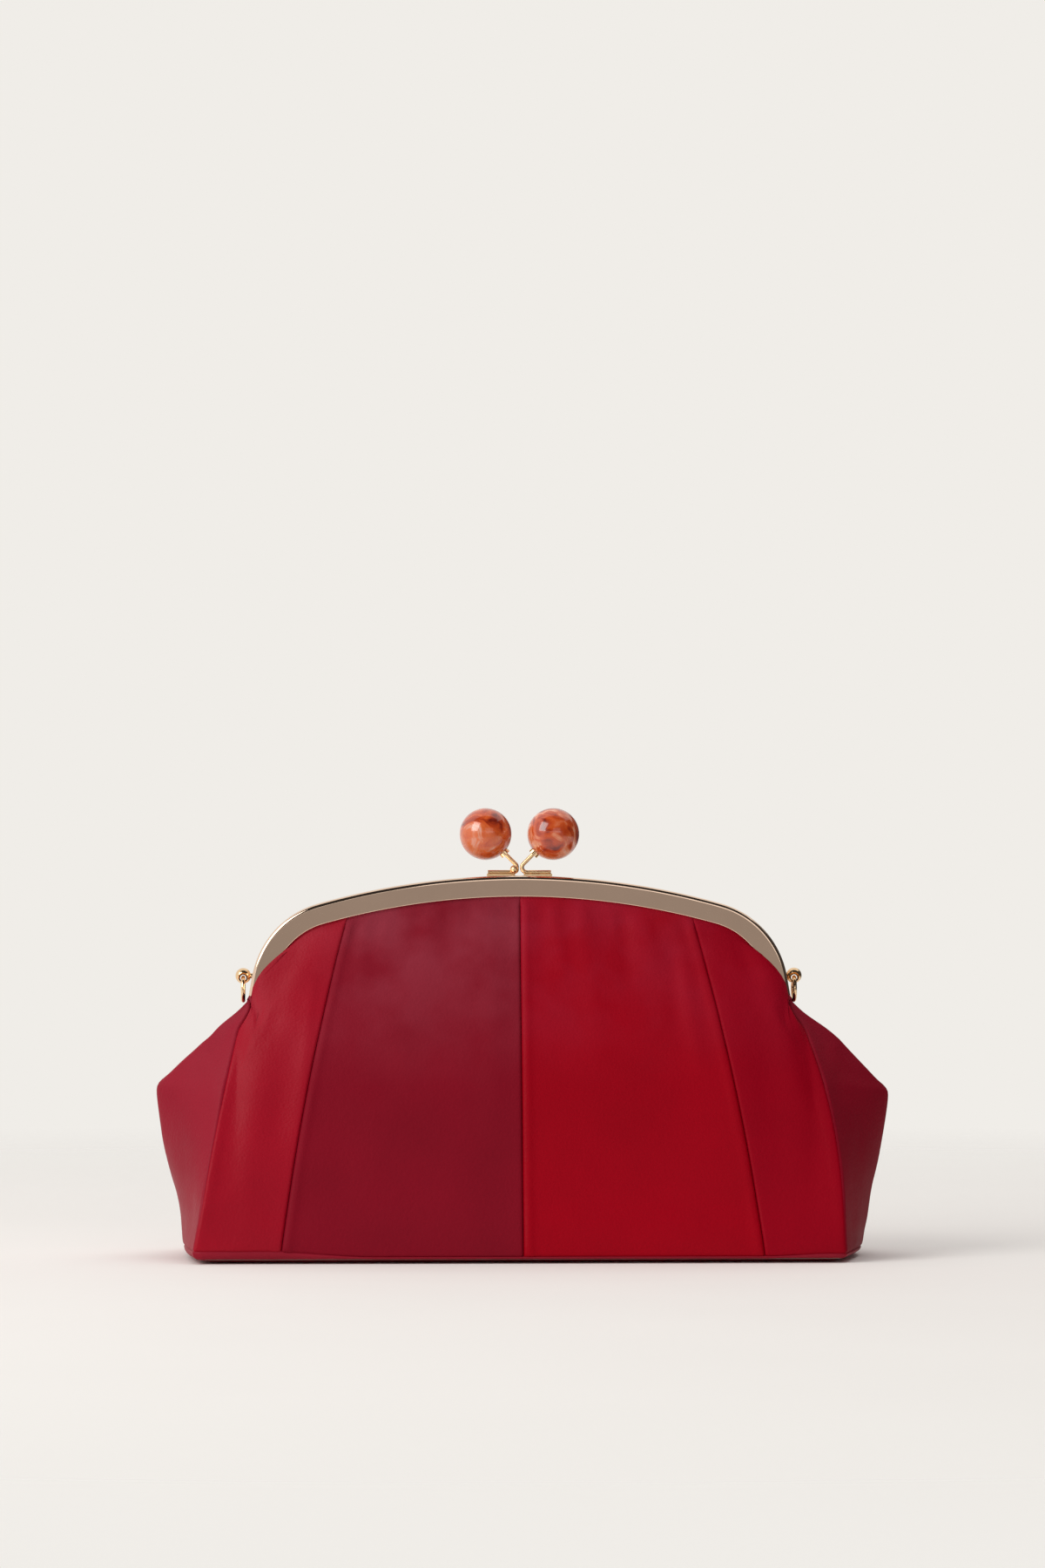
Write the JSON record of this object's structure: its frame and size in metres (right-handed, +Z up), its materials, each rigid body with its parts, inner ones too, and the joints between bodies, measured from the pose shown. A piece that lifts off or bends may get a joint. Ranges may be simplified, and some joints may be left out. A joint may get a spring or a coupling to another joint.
{
  "type": "kiss lock frame purse",
  "caption": "Kiss lock purse: patchwork leather body with folded gussets under an arched clasp frame, closed by resin balls on bent rods, with strap rings at its ears.",
  "frame": {"origin": "on the table under the middle of the bag's base", "axes": "+X to the right along the frame, -Y out of the front panel, +Z up"},
  "size_m": [0.281, 0.09, 0.1713],
  "materials": {
    "cherry_leather": "bright red, fine grain, soft sheen",
    "wine_leather": "burgundy, fine grain, soft sheen",
    "scarlet_leather": "deep red, fine grain, soft sheen",
    "poppy_leather": "warm red, fine grain, soft sheen",
    "garnet_leather": "garnet red, fine grain, soft sheen",
    "lining": "plain woven lining",
    "board": "pressed fibre board",
    "paper_cord": "twisted paper cord",
    "polished_brass": "mirror polished, pale gold",
    "resin": "marbled orange and white, glossy"
  },
  "bodies": {
    "bag": {"base_panel": "garnet_leather", "base_board": "board", "base_lining": "lining", "gusset_left": "garnet_leather", "gusset_right": "wine_leather", "gusset_lining_left": "lining", "gusset_lining_right": "lining", "front_left_side": "cherry_leather", "front_left_middle": "wine_leather", "front_right_middle": "scarlet_leather", "front_right_side": "poppy_leather", "rear_left_side": "cherry_leather", "rear_left_middle": "wine_leather", "rear_right_middle": "scarlet_leather", "rear_right_side": "poppy_leather", "front_lining": "lining", "rear_lining": "lining", "hinge_rivet_left": "polished_brass", "hinge_rivet_right": "polished_brass"},
    "front_half": {"front_left_side_top": "cherry_leather", "front_left_middle_top": "wine_leather", "front_right_middle_top": "scarlet_leather", "front_right_side_top": "poppy_leather", "gusset_left_front_top": "garnet_leather", "gusset_right_front_top": "wine_leather", "front_lining_top": "lining", "front_frame": "polished_brass", "front_channel_cord": "paper_cord", "front_rod": "polished_brass", "front_cup": "polished_brass", "front_ball": "resin"},
    "rear_half": {"rear_left_side_top": "cherry_leather", "rear_left_middle_top": "wine_leather", "rear_right_middle_top": "scarlet_leather", "rear_right_side_top": "poppy_leather", "gusset_left_rear_top": "garnet_leather", "gusset_right_rear_top": "wine_leather", "rear_lining_top": "lining", "rear_frame": "polished_brass", "rear_channel_cord": "paper_cord", "rear_rod": "polished_brass", "rear_cup": "polished_brass", "rear_ball": "resin", "ear_left": "polished_brass", "ear_right": "polished_brass"},
    "left_ring": {"ring_left": "polished_brass"},
    "right_ring": {"ring_right": "polished_brass"}
  },
  "joints": [
    {"name": "front_opening", "type": "hinge", "parent": "bag", "child": "front_half", "pos_m": [0, 0, 0.101], "axis": [1, 0, 0], "range_deg": [0, 45], "deforming": ["front_left_side_top", "front_left_middle_top", "front_right_middle_top", "front_right_side_top", "gusset_left_front_top", "gusset_right_front_top", "front_lining_top"]},
    {"name": "rear_opening", "type": "hinge", "parent": "bag", "child": "rear_half", "pos_m": [0, 0, 0.101], "axis": [-1, 0, 0], "range_deg": [0, 45], "deforming": ["rear_left_side_top", "rear_left_middle_top", "rear_right_middle_top", "rear_right_side_top", "gusset_left_rear_top", "gusset_right_rear_top", "rear_lining_top"]},
    {"name": "left_ring_swing", "type": "hinge", "parent": "rear_half", "child": "left_ring", "pos_m": [-0.10578, 0.004, 0.10619], "axis": [0, 1, 0], "range_deg": [-6, 150]},
    {"name": "right_ring_swing", "type": "hinge", "parent": "rear_half", "child": "right_ring", "pos_m": [0.10578, 0.004, 0.10619], "axis": [0, -1, 0], "range_deg": [-6, 150]}
  ],
  "couplings": [
    {"joint": "rear_opening", "follows": "front_opening", "ratio": 1}
  ]
}
